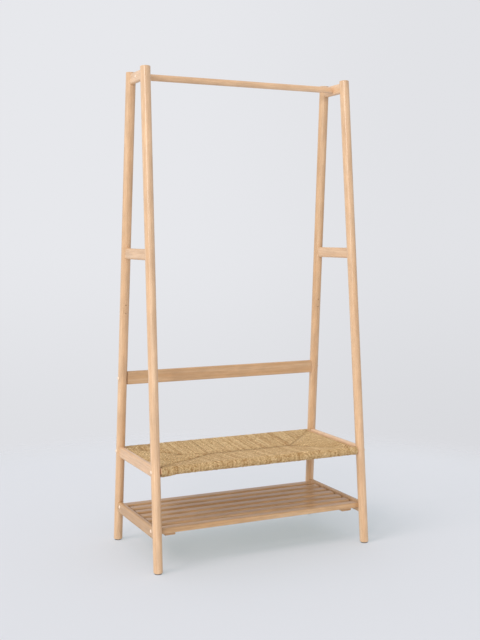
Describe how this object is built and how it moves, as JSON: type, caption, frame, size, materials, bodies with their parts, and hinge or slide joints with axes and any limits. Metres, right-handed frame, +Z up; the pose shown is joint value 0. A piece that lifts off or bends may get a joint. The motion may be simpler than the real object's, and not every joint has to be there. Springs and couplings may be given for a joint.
{
  "type": "clothes rack",
  "caption": "Free-standing wooden clothes rack with two A-shaped side frames, a round hanging rail, a rear rail, a woven cord bench seat and a slatted shoe shelf.",
  "frame": {"origin": "on the floor, under the middle of the rack", "axes": "+X to the rack's right, along its width; -Y to its front; +Z up"},
  "size_m": [0.8858, 0.4732, 1.7998],
  "materials": {
    "oak": "pale, clear satin lacquer",
    "pale_cap_wood": "smooth satin",
    "beech_dowel": "unfinished, fluted",
    "paper_cord": "twisted natural paper cord",
    "glide_plastic": "matte",
    "zinc_plated_steel": "zinc plated"
  },
  "bodies": {
    "root": {"back_left_glide": "glide_plastic", "back_left_leg": "oak", "back_right_glide": "glide_plastic", "back_right_leg": "oak", "front_left_glide": "glide_plastic", "front_left_leg": "oak", "front_right_glide": "glide_plastic", "front_right_leg": "oak", "glide_nails": "zinc_plated_steel", "hanging_rail": "oak", "hanging_rail_barrel_nuts": "zinc_plated_steel", "hanging_rail_bolt_caps": "pale_cap_wood", "hanging_rail_bolts": "zinc_plated_steel", "left_middle_rail": "oak", "left_seat_side_rail": "oak", "left_shelf_batten": "oak", "left_shelf_side_rail": "oak", "left_top_rail": "oak", "middle_rail_dowels": "beech_dowel", "rear_rail": "oak", "rear_rail_barrel_nuts": "zinc_plated_steel", "rear_rail_bolt_caps": "pale_cap_wood", "rear_rail_bolts": "zinc_plated_steel", "rear_rail_dowels": "beech_dowel", "right_middle_rail": "oak", "right_seat_side_rail": "oak", "right_shelf_batten": "oak", "right_shelf_side_rail": "oak", "right_top_rail": "oak", "seat_back_rail": "oak", "seat_barrel_nuts": "zinc_plated_steel", "seat_bolt_caps": "pale_cap_wood", "seat_bolts": "zinc_plated_steel", "seat_frame_dowels": "beech_dowel", "seat_front_rail": "oak", "seat_left_end_rail": "oak", "seat_right_end_rail": "oak", "seat_side_rail_dowels": "beech_dowel", "shelf_barrel_nuts": "zinc_plated_steel", "shelf_bolt_caps": "pale_cap_wood", "shelf_bolts": "zinc_plated_steel", "shelf_screws": "zinc_plated_steel", "shelf_side_rail_dowels": "beech_dowel", "shelf_slat_1": "oak", "shelf_slat_2": "oak", "shelf_slat_3": "oak", "shelf_slat_4": "oak", "shelf_slat_5": "oak", "shelf_slat_6": "oak", "shelf_slat_7": "oak", "top_rail_dowels": "beech_dowel", "woven_seat": "paper_cord"}
  },
  "joints": []
}
